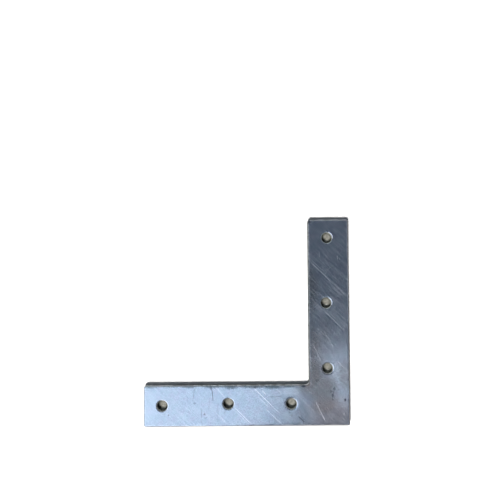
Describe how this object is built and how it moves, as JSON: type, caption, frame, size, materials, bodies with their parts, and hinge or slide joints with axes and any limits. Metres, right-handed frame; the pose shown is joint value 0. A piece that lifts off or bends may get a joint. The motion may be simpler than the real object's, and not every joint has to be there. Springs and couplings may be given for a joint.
{
  "type": "flat corner brace",
  "caption": "Flat L-shaped steel plate with a row of screw holes in each leg, for joining two rails at a corner.",
  "frame": {"origin": "middle of the 100 by 100 mm square that the legs span, on the underside", "axes": "+Z out of the show face; one leg runs along X at the -Y side, the other along Y at the +X side; the outside corner is at +X -Y"},
  "size_m": [0.1, 0.1, 0.0025],
  "materials": {
    "plated_steel": "bright zinc plating, lightly scratched and stained"
  },
  "bodies": {
    "root": {"brace_plate": "plated_steel"}
  },
  "joints": []
}
